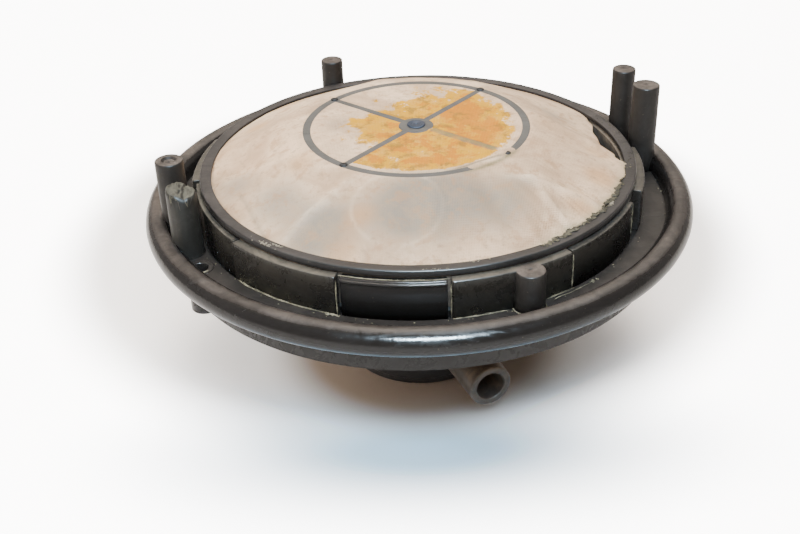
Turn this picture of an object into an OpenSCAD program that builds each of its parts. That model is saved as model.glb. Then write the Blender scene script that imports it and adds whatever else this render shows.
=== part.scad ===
// Round moulded filter unit: a pan with a rolled rim, an outlet cup with a hose spigot below it, and a
// lift-off filter ring above it whose domed cloth carries a sprung ring-and-cross stiffener.
// Millimetres. Origin: centre of the outlet cup's underside. +Z points up out of the cloth dome,
// -Y towards the clear window panel.

/* [Pan] */
// Outer diameter of the rolled rim
rim_d = 130; // [126:1:134]
// Thickness of the roll
bead_d = 6.2; // [5.4:0.1:6.6]
// Height of the pan floor above the underside of the outlet cup
floor_z = 42.5; // [40:0.5:46]
// Outer diameter of the skirt under the rim
skirt_d = 116.8; // [115:0.2:117.4]
// Depth of the skirt below the floor's top face
skirt_drop = 8.8; // [6:0.2:10]

/* [Collar] */
// Outer diameter of the wall segments
collar_d = 106.6; // [106:0.1:107]
// Height of the wall segments above the floor
collar_h = 8.9; // [8:0.1:8.9]
// Number of windows between the wall segments
window_count = 6; // [6]
// Angle spanned by the clear window at the front
front_window_a = 26; // [22:1:30]
// Angle spanned by each of the other windows
side_window_a = 35; // [30:1:38]

/* [Filter] */
// Inner diameter of the retaining ring, where the cloth comes out
cloth_d = 97.2; // [96:0.2:97.4]
// Height of the stiffener above the pan floor
dome_h = 18.4; // [16:0.2:20]
// Outer diameter of the stiffener ring
grid_d = 53.4; // [48:0.2:56]
// Travel of the dome when it is pressed down
press_travel = 6; // [4:1:6]

/* [Posts] */
// Diameter of the left pair and of the right front post
post_d = 6.6; // [6.2:0.1:6.6]
// Diameter of the slimmer posts
slim_post_d = 5.8; // [5.4:0.1:6]
// Height of the two right posts above the floor
post_h = 22; // [18:0.5:24]

/* [Outlet] */
// Outer diameter of the outlet cup
cup_d = 38; // [36:0.5:40]
// Outer diameter of the hose spigot
spigot_d = 10.4; // [9:0.1:11]
// Bore of the hose spigot
spigot_bore = 6.8; // [6:0.1:7]
// Distance from the cup's axis to the spigot's open end
spigot_reach = 40; // [34:1:44]
// Height of the spigot's axis above the cup's underside
spigot_z = 12.5; // [11:0.5:14]
// Direction of the spigot, anticlockwise from +X
spigot_az = -67; // [-80:1:-50]

/* [Hidden] */
$fn = 96;
eps = 0.01;

// pan
floor_t = 2.5;
bead_r = bead_d / 2;
bead_mid_r = rim_d / 2 - bead_r;
bead_lift = 0.9;
bead_sides = 32;
flange_r = 60.5;
flange_t = 1.6;
chamber_r = 44;
skirt_t = 2.5;
groove_r = 50.3;
groove_depth = 1.5;
neck_z = 24;
funnel_z = 27;
joint_step = 1.5;

// collar and its windows
collar_r = collar_d / 2;
collar_inner_r = 51;
front_az = -96;
window_pitch = 360 / window_count;
tab_gap_a = 0.9;

// filter ring
frame_inner_r = 48.2;
frame_outer_r = 50.6;
gasket_t = 1.1;
frame_foot = 1.2;
frame_top = 9;
cloth_t = 0.5;
ring_outer_r = 51.3;
ring_top = 10.6;
ring_lip_r = 50.9;
ring_lip_z = 9.2;
ring_chamfer = 0.3;
tab_t = 1.7;

// stiffener, sprung on its guide pin
grid_r = grid_d / 2;
grid_band = 2.1;
spoke_w = 1.5;
hub_r = 4.1;
grid_t = 0.6;
pad_gap = 0.2;
spoke_az = 51;
pip_r = 0.85;
pin_r = 1;
pin_clear = 0.05;
pin_head_r = 2.2;
pin_low = -6;
spider_h = 4;
spider_tube_r = 3;
spider_low = pin_low - press_travel;
spring_r = 4.2;
wire_r = 0.4;
spring_turns = 6;
seat_t = 0.6;
seat_r = 5.2;

// posts: [azimuth, distance from the axis, radius, height above the floor, height of the thicker foot]
foot_step = 0.4;
foot_h = 9.2;
socket_depth = 1.2;
notch_gap = 0.12;
left_rear = [-166.8, 57.5, post_d / 2, 18, foot_h];
left_front = [-155.5, 57, post_d / 2, 15.6, foot_h];
right_front = [13.2, 57.4, post_d / 2, post_h, foot_h];
right_rear = [24.4, 57.4, slim_post_d / 2, post_h, foot_h];
front = [-65.5, 54, 3.2, collar_h, 0];
back = [114.5, 54.4, slim_post_d / 2, 16.4, 0];
all_posts = [left_rear, left_front, right_front, right_rear, front, back];
tear_turn = 70;
tear_tilt = 14;
bush_az = -147.6;
bush_mid_r = 57.3;
bush_r = 3.1;
bush_bore_r = 1.8;
bush_drop = 10.4;

// outlet
cup_r = cup_d / 2;
cup_bore_r = 16.5;
cap_t = 1.5;
cap_plug = 3;
spigot_r = spigot_d / 2;
spigot_root = 14.5;
spigot_shoulder_r = 6.6;
spigot_shoulder_t = 1.6;

backer_top = dome_h - pad_gap - cloth_t - pad_gap;
backer_low = backer_top - grid_t;

// Flat ring standing on z, between two radii
module tube(inner_r, outer_r, h) {
    difference() {
        cylinder(r = outer_r, h = h);
        translate([0, 0, -1]) cylinder(r = inner_r, h = h + 2);
    }
}

// Pie slice about the axis, centred on az
module wedge(az, angle, r, h) {
    rotate([0, 0, az - angle / 2])
        rotate_extrude(angle = angle) square([r, h]);
}

// One post, from its socket to h above the floor, with a slightly thicker foot
module post_body(p, h) {
    rotate([0, 0, p[0]])
        translate([p[1], 0, floor_z - socket_depth]) {
            cylinder(r = p[2], h = h + socket_depth);
            cylinder(r = p[2] + foot_step, h = p[4] + socket_depth);
        }
}

// What the posts take out of a neighbour, with some room round each
module post_sockets(room = 0) {
    for (p = all_posts)
        rotate([0, 0, p[0]])
            translate([p[1], 0, floor_z - socket_depth])
                cylinder(r = p[2] + foot_step + room, h = post_h);
}

module bush_hole(r) {
    rotate([0, 0, bush_az])
        translate([bush_mid_r, 0, floor_z - bush_drop]) cylinder(r = r, h = bush_drop);
}

// Floor, rim flange and skirt
module pan_shell() {
    color("dimgray")
    difference() {
        rotate_extrude() polygon([
            [chamber_r, floor_z],
            [flange_r, floor_z],
            [flange_r, floor_z - flange_t],
            [skirt_d / 2, floor_z - flange_t],
            [skirt_d / 2, floor_z - skirt_drop],
            [skirt_d / 2 - skirt_t, floor_z - skirt_drop],
            [skirt_d / 2 - skirt_t, floor_z - floor_t],
            [chamber_r, floor_z - floor_t]]);
        translate([0, 0, floor_z - groove_depth]) tube(groove_r, collar_r, groove_depth + 1);
        post_sockets();
        bush_hole(bush_r);
        translate([0, 0, 1]) bush_hole(bush_r);
    }
}

// Cone from the floor's inner edge down to the outlet cup
module pan_funnel() {
    color("darkgray")
    rotate_extrude() polygon([
        [chamber_r, floor_z - floor_t],
        [chamber_r + floor_t, floor_z - floor_t],
        [cup_r, funnel_z - floor_t],
        [cup_r, neck_z],
        [cup_bore_r + 1, neck_z],
        [cup_bore_r + 1, neck_z + joint_step],
        [cup_bore_r, neck_z + joint_step],
        [cup_bore_r, funnel_z]]);
}

module rim_bead() {
    color("#222222")
    difference() {
        translate([0, 0, floor_z])
            rotate_extrude() difference() {
                polygon([for (k = [0 : bead_sides - 1]) let (a = 360 * k / bead_sides)
                    [bead_mid_r + bead_r * cos(a), bead_lift + bead_r * sin(a)]]);
                translate([0, -flange_t]) square([flange_r, flange_t]);
            }
        post_sockets(notch_gap);
        bush_hole(bush_r + notch_gap);
    }
}

// Angle spanned by window k; window 0 is the clear one at the front
function window_a(k) = k == 0 ? front_window_a : side_window_a;

module wall_segments() {
    color("slategray")
    difference() {
        translate([0, 0, floor_z - groove_depth])
            tube(collar_inner_r, collar_r, collar_h + groove_depth);
        for (k = [0 : window_count - 1])
            translate([0, 0, floor_z - groove_depth - 1])
                wedge(front_az + k * window_pitch, window_a(k), collar_r + 1, collar_h + groove_depth + 2);
        post_sockets(notch_gap);
    }
}

module locating_bush() {
    color("#444444")
    difference() {
        bush_hole(bush_r);
        translate([0, 0, -1]) bush_hole(bush_bore_r);
        translate([0, 0, 1]) bush_hole(bush_bore_r);
    }
}

module seal_gasket() {
    color("black")
        translate([0, 0, floor_z]) tube(frame_inner_r + 0.2, frame_outer_r - 0.4, gasket_t);
}

module post_left_rear() {
    color("gray") difference() {
        post_body(left_rear, left_rear[3]);
        rotate([0, 0, left_rear[0]])
            translate([left_rear[1], 0, floor_z + left_rear[3] - 0.5]) cylinder(r = 1.6, h = 1);
    }
}

// This post has broken off: its top is a slope
module post_left_front() {
    color("gray") difference() {
        post_body(left_front, left_front[3] + 1);
        rotate([0, 0, left_front[0]])
            translate([left_front[1], 0, floor_z + left_front[3]])
                rotate([0, 0, tear_turn]) rotate([tear_tilt, 0, 0])
                    translate([-post_d, -post_d, 0]) cube([2 * post_d, 2 * post_d, post_d]);
    }
}

module post_right_rear() {
    color("gray") post_body(right_rear, right_rear[3]);
}

module post_right_front() {
    color("gray") post_body(right_front, right_front[3]);
}

module post_front() {
    color("gray") post_body(front, front[3]);
}

module post_back() {
    color("gray") post_body(back, back[3]);
}

module outlet_cup() {
    color("#333333")
    difference() {
        union() {
            translate([0, 0, cap_t]) cylinder(r = cup_r, h = neck_z - cap_t);
            translate([0, 0, neck_z - 1]) cylinder(r = cup_bore_r + 1, h = joint_step + 1);
        }
        cylinder(r = cup_bore_r, h = neck_z + joint_step + 1);
        rotate([0, 0, spigot_az]) translate([spigot_root - 4, 0, spigot_z])
            rotate([0, 90, 0]) cylinder(r = spigot_r, h = 20);
    }
}

module cup_cap() {
    color("#555555") {
        cylinder(r = cup_r, h = cap_t);
        translate([0, 0, cap_t - eps]) cylinder(r = cup_bore_r, h = cap_plug);
    }
}

module outlet_spigot() {
    color("#666666")
    rotate([0, 0, spigot_az]) translate([0, 0, spigot_z]) rotate([0, 90, 0])
    difference() {
        union() {
            translate([0, 0, spigot_root]) cylinder(r = spigot_r, h = spigot_reach - spigot_root);
            translate([0, 0, cup_r + 0.2]) cylinder(r = spigot_shoulder_r, h = spigot_shoulder_t);
        }
        cylinder(r = spigot_bore / 2, h = spigot_reach + 1);
    }
}

module guide_spider() {
    color("#777777")
    translate([0, 0, floor_z])
    difference() {
        union() {
            tube(chamber_r + 0.5, frame_inner_r - 0.6, 1.5);
            for (a = [0 : 60 : 300])
                rotate([0, 0, a + spoke_az]) translate([0, -0.8, 0]) cube([chamber_r + 2, 1.6, spider_h]);
            translate([0, 0, spider_h - 1]) cylinder(r = seat_r + 0.4, h = 1);
            translate([0, 0, spider_low]) cylinder(r = spider_tube_r, h = spider_h - spider_low);
        }
        translate([0, 0, spider_low - 1]) cylinder(r = pin_r + pin_clear, h = spider_h - spider_low + 2);
    }
}

// Coil spring, drawn as its separate turns
module dome_spring() {
    first = spider_h + wire_r;
    last = backer_low - seat_t - pad_gap - wire_r;
    color("silver")
    translate([0, 0, floor_z])
    for (k = [0 : spring_turns - 1])
        translate([0, 0, first + k * (last - first) / (spring_turns - 1)])
            rotate_extrude() translate([spring_r, 0]) circle(r = wire_r);
}

module cloth_frame() {
    color("#2a2a2a")
        translate([0, 0, floor_z + frame_foot]) tube(frame_inner_r, frame_outer_r, frame_top - frame_foot);
}

// One panel hanging in window k, from above the wall groove up to the ledge
module window_panel(k, t) {
    translate([0, 0, floor_z - groove_depth + 0.3])
    intersection() {
        tube(frame_outer_r, frame_outer_r + t, collar_h + groove_depth - 0.7);
        wedge(front_az + k * window_pitch, window_a(k) - 2 * tab_gap_a, collar_r, collar_h + groove_depth);
    }
}

// Clear panel with a proud bar along its top
module window_panel_front() {
    color("#101010") {
        window_panel(0, tab_t);
        intersection() {
            translate([0, 0, floor_z + collar_h - 1.2]) tube(frame_outer_r, frame_outer_r + tab_t + 0.5, 0.6);
            translate([0, 0, floor_z])
                wedge(front_az, front_window_a - 2 * tab_gap_a, collar_r, collar_h);
        }
    }
}

module window_panels_side() {
    color("#1d1d1d")
    for (k = [1 : window_count - 1]) window_panel(k, tab_t);
}

module retaining_ring() {
    color("#3a3a3a")
    translate([0, 0, floor_z])
    rotate_extrude() polygon([
        [cloth_d / 2, frame_top + cloth_t],
        [ring_lip_r, frame_top + cloth_t],
        [ring_lip_r, ring_lip_z],
        [ring_outer_r, ring_lip_z],
        [ring_outer_r, ring_top - ring_chamfer],
        [ring_outer_r - ring_chamfer, ring_top],
        [cloth_d / 2, ring_top]]);
}

// Cloth: a flat margin clamped under the ring, a slope up to the stiffener, and a flat crown
module filter_cloth() {
    crown = dome_h - pad_gap;
    slope_r = cloth_d / 2 - 0.3;
    color("tan")
    translate([0, 0, floor_z])
    rotate_extrude() polygon([
        [pin_r + 0.5, crown],
        [grid_r + 0.6, crown],
        [slope_r, frame_top + cloth_t],
        [frame_outer_r, frame_top + cloth_t],
        [frame_outer_r, frame_top],
        [slope_r - 0.7, frame_top],
        [grid_r + 0.4, crown - cloth_t],
        [pin_r + 0.5, crown - cloth_t]]);
}

// Ring and cross, one on each side of the cloth
module grid(h) {
    tube(grid_r - grid_band, grid_r, h);
    difference() {
        union() {
            cylinder(r = hub_r, h = h);
            for (a = [0, 90])
                rotate([0, 0, spoke_az + a])
                    translate([-grid_r + 1, -spoke_w / 2, 0]) cube([2 * grid_r - 2, spoke_w, h]);
        }
        translate([0, 0, -1]) cylinder(r = pin_r, h = h + 2);
    }
}

module pip_holes() {
    for (k = [0 : 3])
        rotate([0, 0, spoke_az + 90 * k]) translate([grid_r - grid_band / 2, 0, -1])
            cylinder(r = pip_r, h = 4);
}

module stiffener_grid() {
    color("#5a5f66")
    translate([0, 0, floor_z + dome_h])
    difference() {
        grid(grid_t);
        pip_holes();
    }
}

module stiffener_backer() {
    color("#4a4f56")
    translate([0, 0, floor_z + backer_low]) grid(grid_t);
}

module stiffener_pips() {
    color("#151515")
    translate([0, 0, floor_z + dome_h])
    for (k = [0 : 3])
        rotate([0, 0, spoke_az + 90 * k]) translate([grid_r - grid_band / 2, 0, 0])
            cylinder(r = pip_r, h = grid_t + 0.15);
}

module spring_seat() {
    color("gainsboro")
        translate([0, 0, floor_z + backer_low - seat_t]) tube(pin_r, seat_r, seat_t);
}

module guide_pin() {
    color("#3c4250")
    translate([0, 0, floor_z]) {
        translate([0, 0, dome_h + grid_t]) cylinder(r = pin_head_r, h = 0.4);
        translate([0, 0, pin_low]) cylinder(r = pin_r, h = dome_h + grid_t - pin_low);
    }
}

pan_shell();
pan_funnel();
rim_bead();
wall_segments();
locating_bush();
seal_gasket();
post_left_rear();
post_left_front();
post_right_rear();
post_right_front();
post_front();
post_back();
outlet_cup();
cup_cap();
outlet_spigot();
guide_spider();
dome_spring();
cloth_frame();
window_panel_front();
window_panels_side();
retaining_ring();
filter_cloth();
stiffener_grid();
stiffener_backer();
stiffener_pips();
spring_seat();
guide_pin();
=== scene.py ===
import math
import random

import bpy
from mathutils import Matrix, Vector, noise


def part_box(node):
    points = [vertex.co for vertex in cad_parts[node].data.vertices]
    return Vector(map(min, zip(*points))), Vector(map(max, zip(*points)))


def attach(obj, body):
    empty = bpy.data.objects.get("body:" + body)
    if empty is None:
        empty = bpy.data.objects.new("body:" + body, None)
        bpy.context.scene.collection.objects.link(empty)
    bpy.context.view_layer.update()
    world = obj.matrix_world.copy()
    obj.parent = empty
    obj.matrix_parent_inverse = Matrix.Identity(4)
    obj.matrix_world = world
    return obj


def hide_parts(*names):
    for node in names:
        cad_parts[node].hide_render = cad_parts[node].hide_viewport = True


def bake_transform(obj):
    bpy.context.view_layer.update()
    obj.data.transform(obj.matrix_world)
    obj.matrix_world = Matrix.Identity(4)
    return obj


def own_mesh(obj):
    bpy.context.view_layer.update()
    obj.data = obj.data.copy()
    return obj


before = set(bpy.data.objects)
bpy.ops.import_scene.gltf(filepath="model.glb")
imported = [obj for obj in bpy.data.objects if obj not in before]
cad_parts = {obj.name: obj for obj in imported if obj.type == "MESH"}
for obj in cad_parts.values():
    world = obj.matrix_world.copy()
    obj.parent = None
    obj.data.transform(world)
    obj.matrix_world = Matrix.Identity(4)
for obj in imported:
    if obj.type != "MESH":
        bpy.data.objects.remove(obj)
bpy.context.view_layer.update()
MM = 0.001
TAU = 2 * math.pi
ARC_STEPS = 1.5  # mesh steps to one degree of a swept block
rng = random.Random(11)


# ---------- places taken from the CAD frame

def centre(node):
    low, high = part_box(node)
    return (low + high) / 2


def width(node):
    low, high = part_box(node)
    return high.x - low.x


def polar(az, r, z):
    a = math.radians(az)
    return Vector((r * math.cos(a), r * math.sin(a), z))


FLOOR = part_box("pan_shell")[1].z
BEAD = centre("rim_bead")
BEAD_R = (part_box("rim_bead")[1].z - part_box("rim_bead")[0].z) / 2
BEAD_MID = width("rim_bead") / 2 - BEAD_R
WALL_OUT = width("wall_segments") / 2
WALL_IN = WALL_OUT - 2.3 * MM
WALL_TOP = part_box("wall_segments")[1].z
RING_LOW, RING_TOP = (p.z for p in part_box("retaining_ring"))
RING_OUT = width("retaining_ring") / 2
RING_IN = RING_OUT - 2.7 * MM
GRID_R = width("stiffener_grid") / 2
GRID_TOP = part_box("stiffener_grid")[1].z
GRID_BAND = 2.1 * MM
SPOKE_AZ = 51
FRONT_AZ = -96
# how many degrees each window takes, the front one first
WINDOW_SPANS = [26, 35, 35, 35, 35, 35]


# ---------- meshes

def make(name, verts, faces, body, replaces=()):
    """One smooth-shaded mesh object, riding its body, with the CAD parts it replaces hidden."""
    mesh = bpy.data.meshes.new(name)
    mesh.from_pydata([tuple(v) for v in verts], [], faces)
    mesh.validate()
    mesh.update()
    mesh.polygons.foreach_set("use_smooth", [True] * len(mesh.polygons))
    obj = bpy.data.objects.new(name, mesh)
    bpy.context.collection.objects.link(obj)
    if body:
        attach(obj, body)
    if replaces:
        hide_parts(*replaces)
    return obj


class Pile:
    """Vertices and faces gathered for one mesh."""

    def __init__(self):
        self.verts = []
        self.faces = []

    def add(self, verts, faces):
        base = len(self.verts)
        self.verts += verts
        self.faces += [tuple(base + i for i in f) for f in faces]

    def make(self, name, body, slot, replaces=()):
        return make(name, self.verts, self.faces, body, replaces)


def fillet(outline, radius, steps=4):
    """Closed 2-D outline with its corners rounded; radius is one value or one per corner."""
    out = []
    count = len(outline)
    for i, p in enumerate(outline):
        r = radius[i] if hasattr(radius, "__len__") else radius
        p = Vector(p)
        a, b = Vector(outline[i - 1]) - p, Vector(outline[(i + 1) % count]) - p
        half = a.angle(b) / 2
        reach = min(r / max(math.tan(half), 1e-3), a.length * 0.45, b.length * 0.45)
        if r <= 0 or reach < 1e-6:
            out.append(p)
            continue
        start, end = p + a.normalized() * reach, p + b.normalized() * reach
        for k in range(steps + 1):
            t = k / steps
            out.append(start * (1 - t) ** 2 + p * 2 * t * (1 - t) + end * t * t)
    return out


def lathe(pile, outline, turns=180, place=None, wobble=0.0, seed=0.0):
    """Closed outline of (radius, height) turned about Z, then put in place."""
    place = place or Matrix.Identity(4)
    n = len(outline)
    verts = []
    for k in range(turns):
        a = TAU * k / turns
        for r, z in outline:
            if wobble:
                q = Vector((math.cos(a) * r, math.sin(a) * r, z)) * 90
                r += wobble * min(1, r / MM) * noise.noise(q + Vector((seed, 0, 0)))
            verts.append(place @ Vector((r * math.cos(a), r * math.sin(a), z)))
    faces = []
    for k in range(turns):
        m = (k + 1) % turns
        for i in range(n):
            j = (i + 1) % n
            faces.append((k * n + i, m * n + i, m * n + j, k * n + j))
    pile.add(verts, faces)


def arc_block(pile, outline, az_from, az_to, end, wobble=0.0):
    """Closed outline of (radius, height) swept between two azimuths, with rounded ends."""
    cx = sum(p[0] for p in outline) / len(outline)
    cz = sum(p[1] for p in outline) / len(outline)
    half_x = max(abs(p[0] - cx) for p in outline)
    half_z = max(abs(p[1] - cz) for p in outline)
    end_a = math.degrees(end / cx)
    quarter = [k * math.pi / 8 for k in range(4)]
    rounding = [(end_a * (1 - math.cos(t)), end * (1 - math.sin(t))) for t in quarter]
    count = max(3, int((az_to - az_from) * ARC_STEPS))
    stations = [(az_from + along_a, inset) for along_a, inset in rounding]
    for k in range(count + 1):
        stations.append((az_from + end_a + (az_to - az_from - 2 * end_a) * k / count, 0.0))
    stations += [(az_to - along_a, inset) for along_a, inset in reversed(rounding)]
    n = len(outline)
    verts = []
    for az, inset in stations:
        sx, sz = 1 - inset / half_x, 1 - inset / half_z
        for r, z in outline:
            p = polar(az, cx + (r - cx) * sx, cz + (z - cz) * sz)
            if wobble:
                p += noise.noise_vector(p * 160) * wobble
            verts.append(p)
    faces = []
    for k in range(len(stations) - 1):
        for i in range(n):
            j = (i + 1) % n
            faces.append((k * n + i, (k + 1) * n + i, (k + 1) * n + j, k * n + j))
    last = (len(stations) - 1) * n
    faces.append(tuple(range(n)))
    faces.append(tuple(last + i for i in range(n - 1, -1, -1)))
    pile.add(verts, faces)


def strand(pile, path, radius, sides=7, rough=0.35):
    """Thin irregular thread along a path; its radius wanders and its ends close."""
    n = len(path)
    verts, faces = [], []
    for k, p in enumerate(path):
        d = (path[min(k + 1, n - 1)] - path[max(k - 1, 0)]).normalized()
        side = d.cross(Vector((0, 0, 1)))
        if side.length < 0.1:
            side = d.cross(Vector((p.x, p.y, 0)).normalized())
        side.normalize()
        up = side.cross(d).normalized()
        fade = min(1, k / 2 + 0.15, (n - 1 - k) / 2 + 0.15)
        r = radius * fade * (1 + rough * noise.noise(p * 900) * 1.6)
        for i in range(sides):
            a = TAU * i / sides
            verts.append(p + side * math.cos(a) * r + up * math.sin(a) * r)
    for k in range(n - 1):
        for i in range(sides):
            j = (i + 1) % sides
            faces.append((k * sides + i, (k + 1) * sides + i, (k + 1) * sides + j, k * sides + j))
    faces.append(tuple(range(sides)))
    faces.append(tuple((n - 1) * sides + i for i in range(sides - 1, -1, -1)))
    pile.add(verts, faces)


def thread_path(start, run, scale, step, waver):
    """Seven points from start along run, wavering with noise."""
    drift = [noise.noise_vector(start * scale + Vector((i * step, 0, 0))) * waver for i in range(7)]
    return [start + run * (i / 6) + drift[i] for i in range(7)]


def crumb(pile, at, size, squash):
    """Small irregular lump."""
    verts, faces = [], []
    rings, sides = 4, 7
    spin = rng.random() * TAU
    stretch = rng.uniform(0.6, 1.5)
    for k in range(rings + 1):
        t = math.pi * k / rings
        for i in range(sides):
            a = TAU * i / sides + spin
            flat = Vector((math.cos(a) * stretch, math.sin(a), 0)) * math.sin(t)
            q = at + (flat + Vector((0, 0, math.cos(t) * squash))) * size
            verts.append(q + noise.noise_vector(q * 1500) * size * 0.5)
    for k in range(rings):
        for i in range(sides):
            j = (i + 1) % sides
            faces.append((k * sides + i, (k + 1) * sides + i, (k + 1) * sides + j, k * sides + j))
    pile.add(verts, faces)


# ---------- paints

class Paint:
    """A node material built step by step on the object's own coordinates."""

    def __init__(self, name):
        self.mat = bpy.data.materials.new(name)
        self.mat.use_nodes = True
        self.tree = self.mat.node_tree
        self.shader = self.tree.nodes["Principled BSDF"]
        self.place = self.node("ShaderNodeTexCoord").outputs["Object"]

    def node(self, kind, **settings):
        made = self.tree.nodes.new(kind)
        for key, value in settings.items():
            setattr(made, key, value)
        return made

    def feed(self, socket, value):
        if isinstance(value, bpy.types.NodeSocket):
            self.tree.links.new(value, socket)
        elif hasattr(value, "__len__") and len(value) == 3 and socket.type == "RGBA":
            socket.default_value = (*value, 1)
        else:
            socket.default_value = value

    def noise(self, scale, detail=4.0, rough=0.55, warp=0.0, stretch=(1, 1, 1)):
        spot = self.node("ShaderNodeMapping")
        self.feed(spot.inputs["Vector"], self.place)
        spot.inputs["Scale"].default_value = stretch
        tex = self.node("ShaderNodeTexNoise")
        self.feed(tex.inputs["Vector"], spot.outputs["Vector"])
        tex.inputs["Scale"].default_value = scale
        tex.inputs["Detail"].default_value = detail
        tex.inputs["Roughness"].default_value = rough
        tex.inputs["Distortion"].default_value = warp
        return tex.outputs["Fac"]

    def waves(self, scale, direction, warp=0.0):
        tex = self.node("ShaderNodeTexWave", bands_direction=direction)
        self.feed(tex.inputs["Vector"], self.place)
        tex.inputs["Scale"].default_value = scale
        tex.inputs["Distortion"].default_value = warp
        tex.inputs["Detail"].default_value = 1.0
        return tex.outputs["Fac"]

    def span(self, value, low, high, to_low=0.0, to_high=1.0):
        made = self.node("ShaderNodeMapRange", interpolation_type="SMOOTHSTEP")
        for socket, v in zip(made.inputs, (value, low, high, to_low, to_high)):
            self.feed(socket, v)
        return made.outputs["Result"]

    def calc(self, operation, a, b=0.0):
        made = self.node("ShaderNodeMath", operation=operation)
        self.feed(made.inputs[0], a)
        self.feed(made.inputs[1], b)
        return made.outputs[0]

    def times(self, a, b):
        return self.calc("MULTIPLY", a, b)

    def plus(self, a, b):
        return self.calc("ADD", a, b)

    def swing(self, value, reach):
        """A 0 to 1 value moved to lie about zero and scaled."""
        return self.times(self.calc("SUBTRACT", value, 0.5), reach)

    def mix(self, share, a, b):
        made = self.node("ShaderNodeMix", data_type="RGBA")
        self.feed(made.inputs["Factor"], share)
        self.feed(made.inputs[6], a)
        self.feed(made.inputs[7], b)
        return made.outputs[2]

    def split(self, vector):
        parts = self.node("ShaderNodeSeparateXYZ")
        self.feed(parts.inputs[0], vector)
        return parts.outputs

    def facing_up(self):
        return self.split(self.node("ShaderNodeNewGeometry").outputs["Normal"])["Z"]

    def front_face(self):
        """1 on the side of a sheet that its normal points to, 0 behind it."""
        behind = self.node("ShaderNodeNewGeometry").outputs["Backfacing"]
        return self.calc("SUBTRACT", 1.0, behind)

    def away_from(self, spot, stretch=(1, 1, 1)):
        """Distance from a spot, with the coordinates stretched first."""
        scaled = self.node("ShaderNodeVectorMath", operation="MULTIPLY")
        self.feed(scaled.inputs[0], self.place)
        scaled.inputs[1].default_value = stretch
        made = self.node("ShaderNodeVectorMath", operation="DISTANCE")
        self.feed(made.inputs[0], scaled.outputs[0])
        made.inputs[1].default_value = spot
        return made.outputs["Value"]

    def mask(self, name):
        return self.node("ShaderNodeAttribute", attribute_name=name).outputs["Fac"]

    def bump(self, height, depth, under=None):
        made = self.node("ShaderNodeBump")
        made.inputs["Strength"].default_value = 1.0
        made.inputs["Distance"].default_value = depth
        self.feed(made.inputs["Height"], height)
        if under is not None:
            self.feed(made.inputs["Normal"], under)
        return made.outputs["Normal"]

    def done(self, colour=None, rough=None, normal=None, **others):
        sockets = self.shader.inputs
        if colour is not None:
            self.feed(sockets["Base Color"], colour)
        if rough is not None:
            self.feed(sockets["Roughness"], rough)
        if normal is not None:
            self.feed(sockets["Normal"], normal)
        for key, value in others.items():
            self.feed(sockets[key.replace("_", " ")], value)
        return self.mat


def plastic(name, base, dirt, dirt_top=0.5, dirt_side=0.05, gloss=0.16, dull=0.6, grain=1.0, lip=0.7,
            spec=0.2, front_shade=0.0):
    """Moulded black plastic: glossy where clean, brown dust where it faces up, scuffs and fine scratches.

    dirt_top and dirt_side are the shares of dust on faces up and sideways, and lip is how level a face
    must be to count as up. gloss and dull are the roughness of clean and dusty plastic. lean paints
    shade: it thins the dust towards the front of the object, so the front comes out darker.
    """
    p = Paint(name)
    patches = p.noise(48, detail=8, rough=0.66, warp=0.6)
    fine = p.noise(900, detail=3, rough=0.6)
    blot = p.noise(230, detail=6, rough=0.72, warp=0.8)
    up = p.span(p.facing_up(), lip, lip + 0.2, dirt_side, dirt_top)
    dust = p.times(up, p.span(patches, 0.3, 0.62, 0.35, 1.0))
    dust = p.plus(dust, p.times(p.span(fine, 0.45, 0.75, 0, 0.25), up))
    # painted shade: less dust towards the front, so the front of the object comes out darker
    if front_shade:
        parts = p.split(p.place)
        back = p.plus(p.times(parts["X"], -0.35), parts["Y"])
        dust = p.times(dust, p.span(back, -0.055, 0.0, 1 - front_shade, 1))
    scratch = p.span(p.noise(420, detail=2, stretch=(0.08, 1.6, 0.6)), 0.62, 0.68)
    scuff = p.span(p.noise(150, detail=6, rough=0.75, warp=1.0), 0.58, 0.74)
    mote = p.span(p.noise(1700, detail=2), 0.7, 0.77, 0, 0.4)
    shade = p.mix(p.times(scuff, 0.45), base, [c * 2.4 + 0.012 for c in base])
    brown = p.mix(p.span(blot, 0.36, 0.62), [c * 0.55 for c in dirt], [c * 1.15 for c in dirt])
    shade = p.mix(dust, shade, brown)
    shade = p.mix(mote, shade, (0.1, 0.086, 0.062))
    rough = p.span(dust, 0.0, 0.6, gloss, dull)
    rough = p.plus(rough, p.times(scratch, 0.1))
    rough = p.plus(rough, p.times(scuff, 0.12))
    rough = p.plus(rough, p.span(blot, 0.35, 0.65, -0.03, 0.06))
    lumps = p.bump(p.noise(70, detail=2), 0.00006 * grain)
    normal = p.bump(fine, 0.00003 * grain, under=lumps)
    return p.done(shade, rough, normal, Specular_IOR_Level=spec)


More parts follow.
